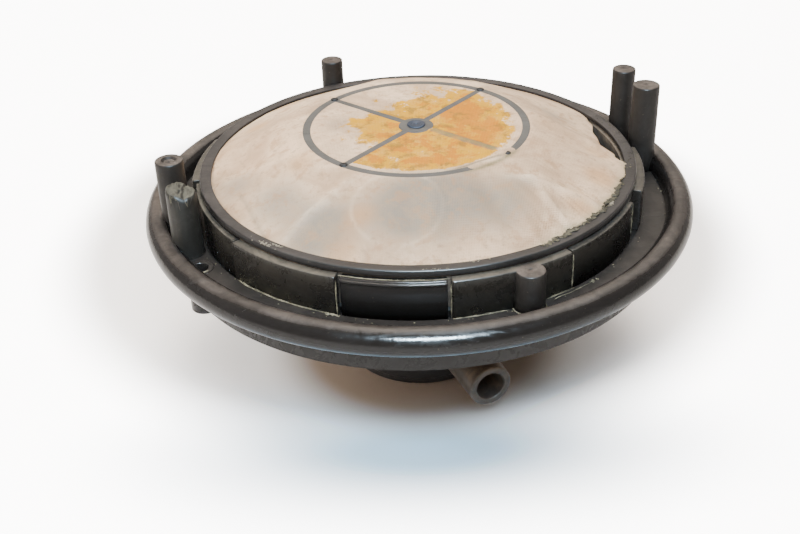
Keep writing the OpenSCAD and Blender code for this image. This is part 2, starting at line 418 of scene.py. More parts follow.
def cloth_paint():
    """Thin beige filter cloth: fine weave, water marks, painted grey-blue shade in its valleys, painted
    highlights on fold ridges, and stains where the masks of build_cloth say.
    """
    p = Paint("filter_cloth_paint")
    soft = p.noise(60, detail=6, rough=0.6, warp=0.8)
    cloud = p.noise(22, detail=4, rough=0.55, warp=0.5)
    speck = p.noise(620, detail=3, rough=0.7)
    dots = p.noise(260, detail=4, rough=0.7, warp=0.3)
    grainy = p.noise(190, detail=7, rough=0.8, warp=0.4)
    drift = p.swing(soft, 0.9)

    # the cloth itself, with its water marks, painted grey-blue shade in its valleys and painted highlights
    # along its folds
    valley_shade = p.span(p.plus(p.mask("valley_shade"), drift), 0.1, 0.9, 0, 0.95)
    warm = p.span(p.plus(p.mask("warm"), drift), 0.15, 0.95, 0, 0.6)
    fold_highlights_and_mark = p.times(p.mask("pale"), p.span(soft, 0.35, 0.6, 0.1, 0.5))
    base = p.mix(p.span(soft, 0.3, 0.7), (0.39, 0.28, 0.185), (0.71, 0.555, 0.395))
    base = p.mix(p.span(cloud, 0.42, 0.72, 0, 0.4), base, (0.48, 0.31, 0.19))
    base = p.mix(valley_shade, base, (0.2, 0.183, 0.155))
    base = p.mix(warm, base, (0.42, 0.24, 0.1))
    base = p.mix(p.times(p.span(dots, 0.53, 0.66), 0.55), base, (0.33, 0.2, 0.105))
    base = p.mix(p.span(grainy, 0.42, 0.68, 0, 0.5), base, (0.34, 0.245, 0.155))
    # painted highlights on the fold ridges, with the pale round mark
    base = p.mix(fold_highlights_and_mark, base, (0.85, 0.73, 0.57))
    base = p.mix(p.span(speck, 0.54, 0.72, 0, 0.5), base, (0.25, 0.18, 0.12))

    # the ochre stain, with a feathered edge, a deeper middle and small dark spots
    edge = p.swing(p.noise(110, detail=7, rough=0.68, warp=0.6), 1.7)
    feather = p.swing(p.noise(430, detail=5, rough=0.75), 1.1)
    push = p.plus(p.plus(p.mask("stain"), edge), feather)
    pale = p.span(push, 0.45, 0.6)
    worn = p.span(p.noise(300, detail=5, rough=0.7), 0.32, 0.58, 0.85, 1.0)
    base = p.mix(p.times(pale, worn), base, (0.49, 0.262, 0.0))
    base = p.mix(p.times(p.span(push, 0.74, 1.0), worn), base, (0.43, 0.16, 0.0))
    base = p.mix(p.times(pale, p.span(dots, 0.5, 0.64, 0, 0.75)), base, (0.21, 0.115, 0.01))

    # what lies on top: the trace of the covered stiffener, darker marks near the torn edge, in two creases
    # and beside the covered spoke, and the frayed edge
    trace = p.times(p.mask("trace"), p.span(grainy, 0.35, 0.65, 1.0, 0.6))
    darkening = p.times(p.mask("darkening"), p.span(dots, 0.3, 0.65, 0.2, 1.0))
    base = p.mix(trace, base, (0.15, 0.138, 0.07))
    base = p.mix(darkening, base, (0.13, 0.11, 0.075))
    base = p.mix(p.times(p.mask("fray"), 0.7), base, (0.36, 0.32, 0.21))

    weave = p.plus(p.waves(900, "X", 0.6), p.waves(900, "Y", 0.6))
    lumps = p.bump(p.noise(120, detail=4, rough=0.6), 0.0002)
    rough = p.span(soft, 0.3, 0.7, 0.55, 0.8)
    return p.done(base, rough, p.bump(weave, 0.00003, under=lumps), Specular_IOR_Level=0.12)


def residue_paint(name, light, dark):
    """Crumbly matt residue, flakes and rust."""
    p = Paint(name)
    tone = p.noise(300, detail=5, rough=0.7)
    fine = p.noise(1500, detail=3)
    shade = p.mix(p.span(tone, 0.35, 0.65), dark, light)
    rough = p.span(fine, 0.3, 0.7, 0.6, 0.9)
    return p.done(shade, rough, p.bump(fine, 0.0001), Specular_IOR_Level=0.1)


def metal(name, colour, rough):
    p = Paint(name)
    tone = p.noise(250, detail=4)
    shade = p.mix(p.span(tone, 0.4, 0.7), colour, [c * 0.55 for c in colour])
    worn = p.span(tone, 0.3, 0.7, rough, rough + 0.25)
    return p.done(shade, worn, p.bump(p.noise(900), 0.00002), Metallic=0.85)


def rubber():
    p = Paint("gasket_paint")
    tone = p.noise(200, detail=4)
    shade = p.mix(tone, (0.02, 0.02, 0.02), (0.05, 0.047, 0.045))
    return p.done(shade, p.span(tone, 0.3, 0.7, 0.6, 0.85), p.bump(p.noise(1200), 0.00005))


PAINT = {
    "pan": plastic("pan_paint", (0.021, 0.0205, 0.0205), (0.035, 0.03, 0.026), dirt_top=0.6, dirt_side=0.1,
                   gloss=0.25, dull=0.5, spec=0.12),
    # the rim and the ring below get painted shade: their fronts come out darker as their dust thins there
    "rim": plastic("rim_paint", (0.008, 0.0078, 0.008), (0.058, 0.048, 0.041), dirt_top=0.95,
                   dirt_side=0.03, gloss=0.16, dull=0.5, grain=1.3, lip=0.78, spec=0.2, front_shade=0.25),
    "wall": plastic("wall_paint", (0.015, 0.0145, 0.0138), (0.085, 0.075, 0.056), dirt_top=0.8,
                    dirt_side=0.13, gloss=0.24, dull=0.6),
    "window": plastic("window_paint", (0.026, 0.0255, 0.0258), (0.04, 0.036, 0.03), dirt_top=0.4,
                      dirt_side=0.02, gloss=0.12, dull=0.4, spec=0.2),
    "ring": plastic("ring_paint", (0.012, 0.0113, 0.0112), (0.034, 0.029, 0.0265), dirt_top=0.85,
                    dirt_side=0.08, gloss=0.34, dull=0.55, grain=1.4, front_shade=0.5),
    # the cloth frame's brown sides are partly dust and partly painted light, standing in for its lit inner
    # wall
    "frame": plastic("frame_dust_and_painted_light", (0.03, 0.027, 0.022), (0.15, 0.12, 0.085), dirt_top=0.8,
                     dirt_side=0.75, gloss=0.45, dull=0.7, grain=1.5),
    "post": plastic("post_paint", (0.0165, 0.0157, 0.015), (0.1, 0.086, 0.076), dirt_top=0.8,
                    dirt_side=0.06, gloss=0.36, dull=0.6, grain=1.4, spec=0.1),
    "torn": plastic("torn_post_paint", (0.017, 0.0165, 0.015), (0.08, 0.079, 0.062), dirt_top=0.95,
                    dirt_side=0.07, gloss=0.42, dull=0.7, grain=1.6, spec=0.12),
    "cup": plastic("cup_paint", (0.02, 0.0195, 0.02), (0.08, 0.072, 0.064), dirt_side=0.12, gloss=0.35),
    "spigot": plastic("spigot_paint", (0.03, 0.026, 0.022), (0.12, 0.082, 0.052), dirt_top=0.65,
                      dirt_side=0.32, gloss=0.3, dull=0.6, grain=1.5, lip=0.3),
    "grid": plastic("stiffener_paint", (0.058, 0.058, 0.057), (0.095, 0.092, 0.082), dirt_top=0.35,
                    dirt_side=0.3, gloss=0.55, dull=0.7),
    "pip": plastic("pip_paint", (0.004, 0.004, 0.0045), (0.01, 0.01, 0.01), dirt_top=0.3, dirt_side=0.1,
                   gloss=0.5, dull=0.6),
    "cloth": cloth_paint(),
    "residue": residue_paint("residue_paint", (0.27, 0.26, 0.185), (0.07, 0.068, 0.046)),
    "crumbs": residue_paint("crumb_paint", (0.105, 0.098, 0.068), (0.025, 0.0235, 0.017)),
    "chips": residue_paint("chip_paint", (0.25, 0.235, 0.185), (0.07, 0.065, 0.05)),
    "rust": residue_paint("rust_paint", (0.42, 0.16, 0.04), (0.2, 0.07, 0.02)),
    "pin": metal("pin_paint", (0.034, 0.038, 0.05), 0.5),
    "steel": metal("spring_paint", (0.55, 0.54, 0.52), 0.25),
    "rubber": rubber(),
}


def paint(obj, key):
    obj.data.materials.clear()
    obj.data.materials.append(PAINT[key])
    return obj


# ---------- pan

def build_rim():
    pile = Pile()
    angles = [TAU * k / 40 for k in range(40)]
    outline = [(BEAD_MID + BEAD_R * math.cos(a), BEAD.z + BEAD_R * math.sin(a)) for a in angles]
    lathe(pile, outline, 360, wobble=0.05 * MM)
    paint(pile.make("rim_roll", "pan", "rim_plastic", ["rim_bead"]), "rim")


def windows():
    """The azimuths where each window starts and ends, the front one first."""
    return [(FRONT_AZ + 60 * k - a / 2, FRONT_AZ + 60 * k + a / 2) for k, a in enumerate(WINDOW_SPANS)]


def build_walls():
    pile = Pile()
    gaps = windows()
    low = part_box("wall_segments")[0].z + 0.1 * MM
    outline = [(WALL_IN, low), (WALL_OUT + 0.1 * MM, low), (WALL_OUT, WALL_TOP), (WALL_IN, WALL_TOP)]
    outline = fillet(outline, [0, 0, 0.45 * MM, 0.35 * MM])
    for k, gap in enumerate(gaps):
        after = gaps[(k + 1) % len(gaps)][0] % 360
        start = gap[1] % 360
        if after < start:
            after += 360
        arc_block(pile, outline, start, after, 0.35 * MM, 0.05 * MM)
    paint(pile.make("collar_walls", "pan", "wall_plastic", ["wall_segments"]), "wall")


def post_outline(radius, low, top, dimple):
    edge = 0.45 * MM
    outline = [(0.02 * MM, low), (radius * 1.03, low), (radius * 1.01, low + 3 * MM),
               (radius * 0.985, top)]
    turns = [0, 0, 0, edge]
    if dimple:
        outline += [(dimple * 1.15, top), (dimple * 0.8, top - 0.55 * MM), (0.02 * MM, top - 0.6 * MM)]
        turns += [0.2 * MM, 0.3 * MM, 0]
    else:
        outline += [(radius * 0.45, top + 0.03 * MM), (0.02 * MM, top + 0.03 * MM)]
        turns += [0, 0]
    return fillet(outline, turns, 5)


def build_post(node, radius, dimple=0.0):
    low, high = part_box(node)
    mid = (low + high) / 2
    pile = Pile()
    outline = post_outline(radius * MM, FLOOR - 0.3 * MM, high.z, dimple * MM)
    lathe(pile, outline, 56, Matrix.Translation((mid.x, mid.y, 0)), 0.08 * MM, mid.x * 1000)
    paint(pile.make(node + "_moulded", "pan", "post_plastic", [node]), "post")


def build_torn_post(node, radius):
    """The post that has snapped: its top slopes and is torn into ridges."""
    low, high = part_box(node)
    mid = (low + high) / 2
    radius *= MM
    sides, rows, caps = 72, 26, 12
    foot = FLOOR - 0.3 * MM
    top = high.z - 0.5 * MM
    slope = Vector((math.cos(math.radians(-20)), math.sin(math.radians(-20))))

    def height(x, y):
        tear = noise.noise(Vector((x * 1900, y * 700, 3))) * 0.32 * MM
        tear += noise.noise(Vector((x * 500, y * 300, 9))) * 0.5 * MM
        return top - (x * slope.x + y * slope.y) * 0.3 - 0.3 * MM + tear

    verts, faces = [], []
    for k in range(rows + caps):
        t = min(k / rows, 1)
        shrink = 1 if k < rows else 1 - (k - rows + 1) / caps
        for i in range(sides):
            a = TAU * i / sides
            r = radius * (1.02 - 0.03 * t) * max(shrink, 0.01)
            if rows - 1 <= k <= rows:
                r *= 0.985
            x, y = r * math.cos(a), r * math.sin(a)
            z = foot + (height(x, y) - foot) * t
            groove = noise.noise(Vector((math.cos(a) * 6, math.sin(a) * 6, z * 90))) * 0.1 * MM
            verts.append(Vector((mid.x + x + math.cos(a) * groove, mid.y + y + math.sin(a) * groove, z)))
    for k in range(rows + caps - 1):
        for i in range(sides):
            j = (i + 1) % sides
            faces.append((k * sides + i, k * sides + j, (k + 1) * sides + j, (k + 1) * sides + i))
    faces.append(tuple((rows + caps - 1) * sides + i for i in range(sides)))
    pile = Pile()
    pile.add(verts, faces)
    paint(pile.make(node + "_snapped", "pan", "post_plastic", [node]), "torn")
    shreds = Pile()
    for k in range(14):
        a = math.radians(rng.uniform(-140, 20))
        x, y = radius * math.cos(a), radius * math.sin(a)
        start = Vector((mid.x + x, mid.y + y, height(x, y) + rng.uniform(-0.2, 0.35) * MM))
        drop = Vector((rng.uniform(-0.8, 0.8), rng.uniform(-0.8, 0.2), -rng.uniform(0.6, 2.8))) * MM
        strand(shreds, thread_path(start, drop, 900, 1, 0.12 * MM), rng.uniform(0.04, 0.09) * MM)
    paint(shreds.make("snapped_post_shreds", "pan", "post_plastic"), "crumbs")


def build_bush():
    low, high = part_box("locating_bush")
    mid = (low + high) / 2
    out, bore = 3.1 * MM, 1.8 * MM
    outline = fillet([(bore, low.z), (out, low.z), (out, high.z + 0.12 * MM), (bore, high.z + 0.12 * MM)],
                     [0.2 * MM, 0.4 * MM, 0.35 * MM, 0.3 * MM])
    pile = Pile()
    lathe(pile, outline, 48, Matrix.Translation((mid.x, mid.y, 0)), 0.08 * MM)
    paint(pile.make("locating_bush_moulded", "pan", "pan_plastic", ["locating_bush"]), "pan")


def build_outlet():
    low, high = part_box("outlet_cup")
    cap_low, cap_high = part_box("cup_cap")
    out = width("outlet_cup") / 2
    neck_in, neck_out, neck_low = 16.5 * MM, 17.5 * MM, 24 * MM
    pile = Pile()
    outline = [(neck_in, low.z), (out, low.z), (out, neck_low), (neck_out, neck_low), (neck_out, high.z),
               (neck_in, high.z)]
    lathe(pile, fillet(outline, 0.25 * MM), 128, wobble=0.05 * MM)
    paint(pile.make("outlet_cup_moulded", "pan", "cup_plastic", ["outlet_cup"]), "cup")
    pile = Pile()
    plug, hub = neck_in - 0.1 * MM, 0.1 * MM
    outline = [(hub, cap_low.z), (out, cap_low.z), (out, low.z), (plug, low.z), (plug, cap_high.z),
               (hub, cap_high.z)]
    lathe(pile, fillet(outline, [0, 0.5 * MM, 0.2 * MM, 0, 0.3 * MM, 0]), 128)
    paint(pile.make("cup_cap_moulded", "pan", "cup_plastic", ["cup_cap"]), "cup")
    axis = centre("outlet_spigot")
    az = math.atan2(axis.y, axis.x)
    turn = (Matrix.Translation((0, 0, axis.z)) @ Matrix.Rotation(az, 4, "Z")
            @ Matrix.Rotation(math.radians(90), 4, "Y"))
    r, bore, root, reach = 5.2 * MM, 3.4 * MM, 14.5 * MM, 40 * MM
    collar, collar_low, collar_high = 6.6 * MM, 19.2 * MM, 20.8 * MM
    outline = [(bore, root), (r, root), (r, collar_low), (collar, collar_low),
               (collar - 0.1 * MM, collar_high), (r + 0.1 * MM, collar_high + 0.4 * MM), (r, reach),
               (bore + 0.1 * MM, reach)]
    outline = fillet(outline, [0, 0, 0, 0.5 * MM, 0.6 * MM, 0.6 * MM, 0.55 * MM, 0.35 * MM], 5)
    pile = Pile()
    lathe(pile, outline, 72, turn, 0.12 * MM, 3.0)
    paint(pile.make("outlet_spigot_moulded", "pan", "spigot_plastic", ["outlet_spigot"]), "spigot")


def build_spring():
    low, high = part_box("dome_spring")
    radius = width("dome_spring") / 2 - 0.4 * MM
    wire = 0.4 * MM
    path = []
    turns, steps = 6.5, 40
    total = int(turns * steps)
    for k in range(total + 1):
        t = k / total
        rise = t * t * (3 - 2 * t) * 0.25 + t * 0.75
        z = low.z + wire + (high.z - low.z - 2 * wire) * rise
        path.append(polar(360 * turns * t, radius, z))
    pile = Pile()
    strand(pile, path, wire, 10, 0.0)
    spring = pile.make("dome_spring_coil", "pan", "spring_steel", ["dome_spring"])
    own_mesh(spring)
    paint(spring, "steel")


# ---------- filter ring

def build_ring():
    pile = Pile()
    outline = fillet([(RING_IN, RING_LOW + 0.3 * MM), (RING_OUT - 0.4 * MM, RING_LOW + 0.3 * MM),
                      (RING_OUT - 0.4 * MM, RING_LOW), (RING_OUT, RING_LOW), (RING_OUT, RING_TOP),
                      (RING_IN, RING_TOP - 0.15 * MM)],
                     [0.1 * MM, 0, 0, 0.1 * MM, 0.42 * MM, 0.3 * MM])
    lathe(pile, outline, 300, wobble=0.12 * MM)
    paint(pile.make("retaining_ring_moulded", "filter_ring", "ring_plastic", ["retaining_ring"]), "ring")


def build_windows():
    low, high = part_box("window_panel_front")
    inner, thick = WALL_IN - 0.4 * MM, 1.7 * MM
    gaps = windows()

    def panel(pile, a, b, out, wobble=0.0):
        outline = [(inner, low.z), (inner + out, low.z), (inner + out, high.z), (inner, high.z)]
        arc_block(pile, fillet(outline, [0, 0, 0.22 * MM, 0]), a, b, 0.2 * MM, wobble)

    pile = Pile()
    a0, a1 = gaps[0][0] + 0.9, gaps[0][1] - 0.9
    panel(pile, a0, a1, thick)
    bar = [(inner + thick - 0.3 * MM, high.z - 1.0 * MM), (inner + thick + 0.45 * MM, high.z - 0.95 * MM),
           (inner + thick + 0.45 * MM, high.z - 0.3 * MM), (inner + thick - 0.3 * MM, high.z - 0.25 * MM)]
    arc_block(pile, fillet(bar, 0.2 * MM), a0, a1, 0.25 * MM)
    paint(pile.make("front_window_pane", "filter_ring", "window_plastic", ["window_panel_front"]), "window")
    pile = Pile()
    for k, (a, b) in enumerate(gaps[1:]):
        short = 5.5 if k == 0 else 0.9
        panel(pile, a + 0.9, b - short, thick, wobble=0.04 * MM)
        if k == 0:
            panel(pile, b - short, b - 0.9, thick * 0.4)
    paint(pile.make("side_window_panes", "filter_ring", "window_plastic", ["window_panels_side"]), "wall")


# ---------- cloth dome

# where the cloth has come away from its ring: azimuth, distance from the axis and height above the seat
SEAT_R = 49.7
TEAR = [(-66, SEAT_R, 0.0), (-58, 49.4, 1.1), (-50, 48.5, 1.35), (-40, 48.3, 1.35), (-30, 47.9, 1.35),
        (-20, 48.4, 1.35), (-8, 48.8, 1.2), (-2, 46.8, 0.9), (6, 44.6, 0.7), (15, 45.3, 0.5),
        (23, 47.6, 0.3), (31, SEAT_R, 0.0)]
# soft folds in the cloth: from and to in millimetres, height, half width; the first four carry a painted
# highlight along their ridges
FOLDS = [((-28, -37.5), (-13, -24.5), 0.75, 1.6), ((27, -29), (32.5, -37), 0.6, 1.3),
         ((15, -25.5), (24.5, -24.8), 0.5, 1.4), ((24.5, -24.8), (38, -26.5), 0.55, 1.6),
         ((-36.5, -14), (-35, -21), -0.3, 0.7), ((-39.5, -20), (-32, -37), -0.4, 0.8),
         ((29, -12), (47, -8), 0.7, 2.2), ((28, 6), (44, 1), 0.8, 2.4), ((30, 18), (45, 14), -0.7, 2.5),
         ((4, -28), (2, -46), 0.5, 2.5), ((-45, 2), (-29, 0), 0.4, 2.5), ((-38, 28), (-22, 16), 0.5, 2.4),
         ((-12, 45), (-7, 28), 0.5, 2.5), ((18, 42), (14, 27), 0.5, 2.5), ((14, -28), (22, -43), -0.6, 2.6),
         ((-20, -28), (-16, -44), -0.5, 2.6)]
# the spoke that cloth fibres have grown over, and the faint round mark: middle and radius in millimetres
COVERED = (4.2, -3.4), (16.9, -13.7)
MARK, MARK_R = (-4.5, -34.5), 9.6
# the first list is painted grey-blue shade where the cloth's valleys face away from the light, the second
# old warm water marks: place in millimetres, reach, strength
VALLEY_SHADE = [(-21, -38, 8, 1.0), (-3, -35, 10, 0.95), (9, -31.5, 9, 0.8), (-31, -26, 8, 0.6), (-41, -16, 6, 0.6),
        (-18, 2, 5, 0.5), (20, -33, 7, 0.6), (34, 14, 6, 0.5), (22, -26, 4, 0.4)]
WARM = [(-12, -36, 4.5, 0.75), (-39, 13.5, 4, 0.95), (-26, -16, 5, 0.7), (41, -16, 4.5, 0.95),
        (35, -28, 4.5, 0.95), (-16, -44, 5, 0.7), (-33, 30, 5, 0.85), (-46, 4, 5, 0.5), (30, 2, 6, 0.5),
        (10, 36, 8, 0.5), (42, -4, 5, 0.6), (-18, -6, 3, 0.4)]


def turn_from(az, middle):
    """How far an azimuth lies from another, between -180 and 180 degrees."""
    return (az - middle + 180) % 360 - 180


def tear_at(az):
    """Distance of the cloth's edge from the axis, its lift, and how torn it is there."""
    az = turn_from(az, 0)
    if not TEAR[0][0] < az < TEAR[-1][0]:
        return SEAT_R * MM, 0.0, 0.0
    for (a, ra, la), (b, rb, lb) in zip(TEAR, TEAR[1:]):
        if a <= az <= b:
            t = (az - a) / (b - a)
            t = t * t * (3 - 2 * t)
            torn = max(0.0, min(1, (az - TEAR[0][0]) / 6, (2 - az) / 6))
            jag = noise.noise(Vector((az * 0.33, 1.3, 0))) * 0.9
            jag += noise.noise(Vector((az * 0.9, 7, 0))) * 0.7
            jag += noise.noise(Vector((az * 3.1, 5, 0))) * 0.18
            return (ra + (rb - ra) * t + jag * torn) * MM, (la + (lb - la) * t) * MM, torn


def along(x, y, a, b):
    """Distance from the segment between two places given in millimetres."""
    ax, ay, bx, by = (v * MM for v in (*a, *b))
    dx, dy = bx - ax, by - ay
    t = max(0.0, min(1.0, ((x - ax) * dx + (y - ay) * dy) / (dx * dx + dy * dy)))
    return math.hypot(x - ax - dx * t, y - ay - dy * t)


def line(x, y, a, b, half):
    """1 on a segment, fading out over half its width, in millimetres."""
    return math.exp(-(along(x, y, a, b) / (half * MM)) ** 2)


def from_mark(x, y):
    """Distance from the line of the faint round mark."""
    return abs(math.hypot(x - MARK[0] * MM, y - MARK[1] * MM) - MARK_R * MM)


def blobs(x, y, spots):
    total = 0.0
    for cx, cy, reach, strength in spots:
        away = math.hypot(x - cx * MM, y - cy * MM)
        total += strength * math.exp(-(away / (reach * MM)) ** 2)
    return min(1, total)


def cloth_height(r, az):
    """Height of the cloth's top face."""
    a = math.radians(az)
    x, y = r * math.cos(a), r * math.sin(a)
    edge_r, lift = tear_at(az)[:2]
    seat = RING_LOW + 0.1 * MM + lift
    crown = GRID_TOP - 0.14 * MM
    inside = GRID_R - GRID_BAND
    spread = max(0.0, (r - GRID_R - 0.3 * MM) / (edge_r - GRID_R - 0.3 * MM))
    z = crown + (seat - crown) * min(spread, 1.0) ** 1.18
    if r < inside:
        across = abs(math.sin(math.radians(2 * (az - SPOKE_AZ))))
        bay = math.sin(math.pi * r / inside) * across
        z -= (0.28 + 0.5 * noise.noise(Vector((x, y, 0.1)) * 70)) * MM * bay

    # slack between stiffener and ring, calmer at the back
    slack = math.sin(math.pi * min(spread, 1)) ** 0.7
    slack *= 1 - 0.6 * max(0.0, min(1, (y - 5 * MM) / (25 * MM)))
    swell = noise.noise(Vector((x, y, 0)) * 42) * 1.3 + noise.noise(Vector((x, y, 0.02)) * 95) * 0.7
    z += swell * slack * MM
    for start, end, tall, wide in FOLDS:
        away = along(x, y, start, end)
        if away < 4 * wide * MM:
            away += 0.5 * MM * noise.noise(Vector((x, y, tall)) * 150)
            share = slack if tall > 0 else 0.8 * slack
            z += 1.35 * tall * MM * math.exp(-(away / (wide * MM)) ** 2) * share
    z += 0.06 * MM * math.exp(-(from_mark(x, y) / (0.7 * MM)) ** 2)
    z += noise.noise(Vector((x, y, 0)) * 260) * 0.13 * MM * (0.15 + slack)

    # kept clear of the stiffener's ring, apart from where the cloth has grown over it
    if inside < r < GRID_R + 4 * MM:
        past = max(0.0, r - GRID_R)
        z = min(z, crown - 0.03 * MM - 0.08 * past + 2 * MM * (past / (4 * MM)) ** 4)
    cover = math.exp(-(turn_from(az, -48) / 14) ** 6)
    cover *= math.exp(-((r - GRID_R + 1.5 * MM) / (1.15 * MM)) ** 2)
    cover += 0.85 * math.exp(-(along(x, y, *COVERED) / (1.25 * MM)) ** 4)
    return z + min(cover, 1) * 0.42 * MM


def stain_at(x, y):
    """Ochre stain, strongest in the two wedges nearest the tear and weaker in the other two."""
    r, az = math.hypot(x, y), math.degrees(math.atan2(y, x))
    end = GRID_R - 1.5 * MM
    if r > end:
        return 0.0
    rim = min(1, (end - r) / (2.0 * MM))
    turn = (az - SPOKE_AZ) % 360
    share = r / GRID_R
    if turn > 270:
        reach = 1.0 - 0.35 * abs(share - 0.5) - 2.8 * max(0, share - 0.7)
        reach -= 0.004 * max(0, turn - 330) * (share > 0.6)
    elif turn > 180:
        reach = 0.84 - 0.6 * max(0, share - 0.74) - 2.5 * max(0, share - 0.83)
    elif turn < 90:
        reach = 0.78 - 1.0 * max(0, share - 0.22 - 0.008 * max(0, 60 - turn))
    else:
        reach = 0.82 - 2.2 * max(0, share - 0.4) - 0.15 * (turn < 108)
    return max(0, reach) * rim


def marks_at(x, y, t, torn):
    """The masks of the cloth's paint, each from 0 to 1; t runs from the middle to the cloth's edge."""
    r, az = math.hypot(x, y), math.degrees(math.atan2(y, x))
    spoke = along(x, y, *COVERED)
    creases = line(x, y, (-39.5, -20), (-32, -37), 0.5) + 0.6 * line(x, y, (-36.5, -14), (-35, -21), 0.4)
    over = line(x, y, (6, -24.3), (18.5, -17.6), 0.3)
    over += 0.9 * math.exp(-((spoke - 0.85 * MM) / (0.2 * MM)) ** 2)
    pale = 0.32 * math.exp(-(from_mark(x, y) / (0.45 * MM)) ** 2)
    # painted highlights along the ridges of the first four folds, and one more pale line along the
    # stiffener's ring
    pale += sum(0.7 * line(x, y, start, end, wide * 0.9) for start, end, _, wide in FOLDS[:4])
    pale += 0.8 * line(x, y, (2, -26), (19.5, -18.5), 0.7)
    trace = 0.95 * math.exp(-(spoke / (0.85 * MM)) ** 4)
    trace += 0.5 * line(x, y, (5, -25.2), (19.5, -16.8), 0.6)
    trace += math.exp(-((r - GRID_R) / (0.65 * MM)) ** 2 - (turn_from(az, -50) / 19) ** 6)
    outer = max(0, (r - 44 * MM) / (5 * MM)) ** 2
    return {"stain": stain_at(x, y), "pale": min(1, pale), "trace": min(1, trace),
            # darker near the torn edge, in two creases and beside the covered spoke
            "darkening": min(1, outer * (0.1 + 0.3 * torn) + creases * 0.5 + over * 0.9),
            "fray": min(1, torn * max(0, (t - 0.972) / 0.028)),
            "valley_shade": blobs(x, y, VALLEY_SHADE), "warm": blobs(x, y, WARM)}


def build_cloth():
    rows, sides = 130, 540
    thick = 0.3 * MM
    inner = 0.9 * MM
    verts, marks = [], []
    for layer in (0, 1):
        for k in range(rows):
            t = k / (rows - 1)
            for i in range(sides):
                az = 360 * i / sides
                edge_r, _, torn = tear_at(az)
                r = inner + (edge_r - inner) * t
                p = polar(az, r, cloth_height(r, az) - layer * thick)
                flutter = torn * max(0, (t - 0.95) / 0.05)
                if flutter:
                    p.z += noise.noise(Vector((az * 0.5, layer * 0.05, 2))) * 0.3 * MM * flutter
                verts.append(p)
                marks.append(marks_at(p.x, p.y, t, torn))
    faces = []
    block = rows * sides
    for k in range(rows - 1):
        for i in range(sides):
            j = (i + 1) % sides
            a, b, c, d = k * sides + i, (k + 1) * sides + i, (k + 1) * sides + j, k * sides + j
            faces.append((a, b, c, d))
            faces.append((block + d, block + c, block + b, block + a))
    for i in range(sides):
        j = (i + 1) % sides
        faces.append((j, i, block + i, block + j)[::-1])
        e = (rows - 1) * sides
        faces.append((e + i, e + j, block + e + j, block + e + i)[::-1])
    cloth = make("filter_cloth_dome", verts, faces, None, ["filter_cloth"])
    for name in marks[0]:
        layer = cloth.data.attributes.new(name, "FLOAT", "POINT")
        layer.data.foreach_set("value", [mark[name] for mark in marks])
    paint(cloth, "cloth")
    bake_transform(cloth)


def build_fringe():
    """Flakes and threads left along the torn edge and on the ring beside it."""
    crumbs = Pile()
    for k in range(460):
        az = rng.uniform(-60, -16)
        r = tear_at(az)[0] + rng.triangular(-0.3, 1.1, 0.1) * MM
        if noise.noise(Vector((az * 0.16, 4, 0))) < -0.12 or r > RING_OUT:
            continue
        at = polar(az, r, RING_TOP + rng.uniform(-0.03, 0.04) * MM)
        crumb(crumbs, at, rng.uniform(0.08, 0.3) * MM, 0.25)
    for k in range(70):
        az = rng.choice((-54, -49, -41, -36, -30, -24)) + rng.gauss(0, 1.7)
        r = tear_at(az)[0] + rng.uniform(-0.2, 0.9) * MM
        at = polar(az, r, RING_TOP + rng.uniform(-0.02, 0.1) * MM)
        crumb(crumbs, at, rng.uniform(0.3, 0.75) * MM, 0.16)
    for k in range(60):
        az = rng.uniform(-12, 34)
        at = polar(az, rng.uniform(49.2, 51.0) * MM, RING_TOP)
        crumb(crumbs, at, rng.uniform(0.08, 0.22) * MM, 0.3)
    for k in range(60):
        az = rng.uniform(-62, 0)
        r = tear_at(az)[0] - 0.3 * MM
        start = polar(az, r, cloth_height(r, az) - 0.1 * MM)
        away = polar(az + rng.uniform(-50, 50), 1, 0) * rng.uniform(0.4, 1.2) * MM
        away.z = rng.uniform(-0.3, 0.15) * MM
        strand(crumbs, thread_path(start, away, 700, 0.7, 0.14 * MM), rng.uniform(0.03, 0.07) * MM)
    paint(crumbs.make("torn_edge_crumbs", "filter_ring", "filter_cloth"), "crumbs")
    chips = Pile()
    for az, r, count, size in ((-130, 50.6, 30, 0.24), (-127, 49.6, 20, 0.22), (-52.6, 49.2, 12, 0.4),
                               (-86, 50.8, 16, 0.17), (-31, 49.2, 12, 0.35), (-76, 49.2, 8, 0.22)):
        for k in range(count):
            at = polar(az + rng.gauss(0, 1.6), (r + rng.gauss(0, 0.25)) * MM, RING_TOP - 0.03 * MM)
            crumb(chips, at, rng.uniform(0.4, 1.0) * size * MM, 0.3)
    paint(chips.make("ring_chips", "filter_ring", "ring_plastic"), "chips")


# ---------- residue

def arc_path(az_from, az_to, r, z, waver=0.15):
    """Points along an arc, wavering by some tenths of a millimetre."""
    count = max(4, int(abs(az_to - az_from) * 1.4))
    path = []
    for k in range(count + 1):
        az = az_from + (az_to - az_from) * k / count
        p = polar(az, r, z)
        path.append(p + noise.noise_vector(p * 260) * waver * MM)
    return path


